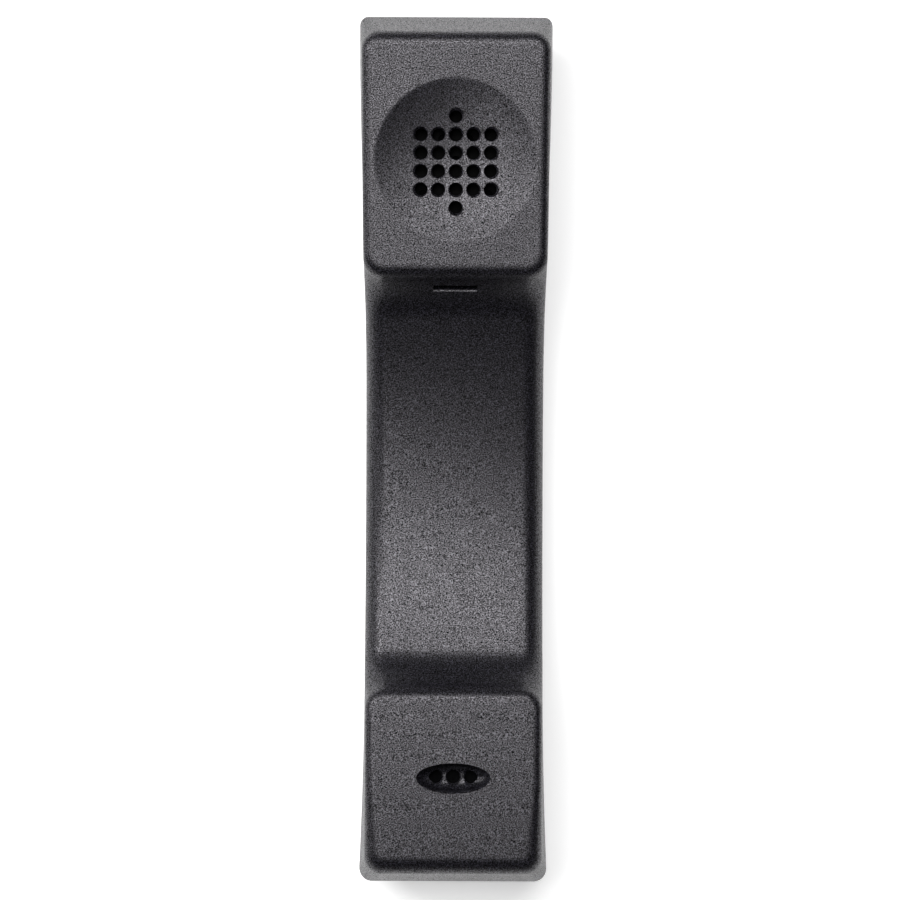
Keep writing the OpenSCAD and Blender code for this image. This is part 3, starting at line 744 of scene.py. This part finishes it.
def winding(name, colour):
    """Enamelled wire wound in fine turns about Z."""
    material, nodes, links, shader = node_material(name)
    place = nodes.new("ShaderNodeTexCoord")
    turns = nodes.new("ShaderNodeTexWave")
    turns.bands_direction = "Z"
    turns.inputs["Scale"].default_value = 2400
    turns.inputs["Distortion"].default_value = 0.4
    links.new(place.outputs["Object"], turns.inputs["Vector"])
    shader.inputs["Metallic"].default_value = 1.0
    shader.inputs["Roughness"].default_value = 0.3
    stops = [(0.1, tint(colour, 0.4)), (0.6, colour)]
    links.new(ramp(nodes, links, turns.outputs["Fac"], stops), shader.inputs["Base Color"])
    bump(nodes, links, turns.outputs["Fac"], shader, 0.04)
    return material


def crepe(name, colour):
    """Crinkled paper tape."""
    material, nodes, links, shader = node_material(name)
    folds = noise(nodes, links, 1200, 4.0, (0.15, 1, 1))
    stops = [(0.3, tint(colour, 0.8)), (0.7, tint(colour, 1.1))]
    links.new(ramp(nodes, links, folds, stops), shader.inputs["Base Color"])
    shader.inputs["Roughness"].default_value = 0.7
    bump(nodes, links, folds, shader, 0.06)
    return material


CASE_COLOUR = (0.0032, 0.0031, 0.0042)
case = grained_plastic("case", CASE_COLOUR, 0.4, 0.28, 0.04)
MATERIALS = {
    "case_front": case,
    "case_rear": case,
    "inner_plastic": smooth_plastic("inner_plastic", (0.012, 0.012, 0.013), 0.42),
    # Receiver cap: a black part, whose near-zero colour and almost absent reflection also paint the shade
    # inside the sound holes.
    "cap_metal": smooth_plastic("black_cap_and_hole_shade", (0.001, 0.001, 0.0011), 0.5, level=0.02),
    "plated_steel": metal("plated_steel", (0.6, 0.6, 0.62), 0.28),
    "steel_screw": metal("screw_steel", (0.5, 0.5, 0.53), 0.3),
    "weight_steel": metal("weight_steel", (0.36, 0.36, 0.37), 0.45, (1, 0.08, 1), 0.015),
    "magnet": metal("magnet", (0.16, 0.16, 0.17), 0.55, depth_mm=0.01),
    "capsule_metal": metal("capsule_metal", (0.62, 0.62, 0.63), 0.3),
    "copper_wire": winding("copper_wire", (0.72, 0.3, 0.14)),
    "gold_wire": metal("gold_wire", (0.83, 0.6, 0.22), 0.22),
    "solder": metal("solder", (0.66, 0.67, 0.68), 0.35),
    "foam": foam("foam", (0.03, 0.03, 0.032)),
    "boot_rubber": smooth_plastic("boot_rubber", (0.012, 0.012, 0.012), 0.7),
    "membrane": smooth_plastic("membrane", (0.015, 0.015, 0.016), 0.5),
    "cone": smooth_plastic("cone", (0.6, 0.5, 0.3), 0.3, 0.3),
    "felt": felt("felt", (0.6, 0.57, 0.5)),
    # Black felt screens: dark felt, made near-black and almost unreflective as painted shade at the bottom
    # of the sound and microphone holes.
    "black_felt": felt("black_felt", (0.002, 0.002, 0.0022), sheen=0.0, level=0.03),
    "circuit_board": smooth_plastic("circuit_board", (0.02, 0.15, 0.05), 0.35, 0.4),
    "ceramic_part": smooth_plastic("ceramic_part", (0.45, 0.33, 0.2), 0.5),
    "lead_red": smooth_plastic("lead_red", (0.4, 0.02, 0.02), 0.4),
    "lead_black": smooth_plastic("lead_black", (0.012, 0.012, 0.013), 0.4),
    "lead_white": smooth_plastic("lead_white", (0.7, 0.7, 0.67), 0.4),
    "lead_green": smooth_plastic("lead_green", (0.02, 0.22, 0.07), 0.4),
    "tape": crepe("tape", (0.55, 0.42, 0.2)),
}


def wear(piece, material):
    piece.data.materials.clear()
    piece.data.materials.append(material)


# ---------------------------------------------------------------- pieces

NET_MARGIN = 1.5


def shell_piece(name, form, low_z, high_z):
    """A mesh of a form between two heights."""
    low = (-EAR_HALF - NET_MARGIN, -END_Y - NET_MARGIN, low_z)
    high = (EAR_HALF + NET_MARGIN, END_Y + NET_MARGIN, high_z)
    return new_piece(name, *surface_net(form, low, high, NET_PITCH))


def add_shells():
    """The two detailed shells, each in place of its CAD node."""
    front = shell_piece("front_case", front_form, PARTING_LOW_Z - 2 * PARTING_SPARE, FACE_Z + NET_MARGIN)
    ear_cutters = [dish_cutter(), ear_hole_cutter()]
    mouth_cutters = [mic_slot_cutter(), mic_hole_cutter()]
    carve(front, [parting_cutter(-1), *ear_cutters, *mouth_cutters, hang_slot_cutter()])
    rear = shell_piece("rear_case", rear_form, -NET_MARGIN, RIM_Z + 2 * PARTING_SPARE)
    carve(rear, [parting_cutter(1), counterbore_cutter(), jack_window_cutter()])
    for piece, node, slot in ((front, "front_shell", "case_front"), (rear, "rear_shell", "case_rear")):
        shade(piece, 32)
        wear(piece, MATERIALS[slot])
        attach(piece, "handset")
        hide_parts(node)


def finish_cad_nodes():
    """Gives every CAD node that still shows the material of its slot."""
    for entry in frame["record"]["subparts"]:
        node = frame["nodes"][entry["node"]]
        material = MATERIALS[entry["material_slot"]]
        if not node.material_slots:
            node.data.materials.append(material)
        for slot in node.material_slots:
            slot.material = material


# ---------------------------------------------------------------- floor, light and camera


def add_floor():
    """A plain floor, a hair below the back so that the two never coincide."""
    mesh = bpy.data.meshes.new("floor")
    reach = 3.0
    z = -0.1 * MM
    corners = [(-reach, -reach, z), (reach, -reach, z), (reach, reach, z), (-reach, reach, z)]
    mesh.from_pydata(corners, [], [(0, 1, 2, 3)])
    floor = bpy.data.objects.new("floor", mesh)
    bpy.context.collection.objects.link(floor)
    material, nodes, links, shader = node_material("floor")
    stops = [(0.3, (0.84, 0.84, 0.84)), (0.7, (0.87, 0.87, 0.87))]
    tone = ramp(nodes, links, noise(nodes, links, 3, 2.0), stops)
    links.new(tone, shader.inputs["Base Color"])
    shader.inputs["Roughness"].default_value = 0.9
    shader.inputs["Specular IOR Level"].default_value = 0.1
    shader.inputs["Emission Color"].default_value = (1, 1, 1, 1)
    shader.inputs["Emission Strength"].default_value = 0.5
    wear(floor, material)


LIGHT_TARGET = Vector((0, 0, 0.02))


def add_area(name, place, size, power):
    """A square light that faces the middle of the handset."""
    data = bpy.data.lights.new(name, "AREA")
    data.shape = "RECTANGLE"
    data.size = size
    data.size_y = size
    data.energy = power
    light = bpy.data.objects.new(name, data)
    light.location = place
    light.rotation_euler = (LIGHT_TARGET - Vector(place)).to_track_quat("-Z", "Y").to_euler()
    bpy.context.collection.objects.link(light)


def add_lights():
    """Soft lights over a surround that is pale near the horizon and dark above."""
    world = bpy.data.worlds.new("surround")
    bpy.context.scene.world = world
    world.use_nodes = True
    nodes, links = world.node_tree.nodes, world.node_tree.links
    place = nodes.new("ShaderNodeTexCoord")
    parts = nodes.new("ShaderNodeSeparateXYZ")
    links.new(place.outputs["Generated"], parts.inputs[0])
    sky = ramp(nodes, links, parts.outputs[2], [(0.0, (0.8, 0.8, 0.8)), (0.1, (0.01, 0.01, 0.01))])
    links.new(sky, nodes["Background"].inputs["Color"])
    add_area("key", (-0.33, 0.68, 2.36), 1.0, 27)
    add_area("right", (0.53, 1.06, 2.18), 1.0, 19)
    add_area("left", (-1.5, 1.03, 1.79), 1.0, 36)
    add_area("side", (-0.9, 0.1, 0.45), 0.5, 1.2)
    add_area("low_left", (-0.15, -0.05, 0.75), 0.15, 0.55)
    bpy.context.scene.view_settings.view_transform = "Standard"


def add_camera():
    """Looks straight down, with the ear end at the top of the frame."""
    data = bpy.data.cameras.new("camera")
    data.sensor_width = 36
    data.lens = 163.3
    data.clip_start = 0.05
    camera = bpy.data.objects.new("camera", data)
    camera.location = (-0.0011, -0.0002, 1.0)
    camera.rotation_euler = (0, 0, math.radians(0.25))
    bpy.context.collection.objects.link(camera)
    bpy.context.scene.camera = camera


add_camera()
add_lights()
add_floor()
add_shells()
finish_cad_nodes()
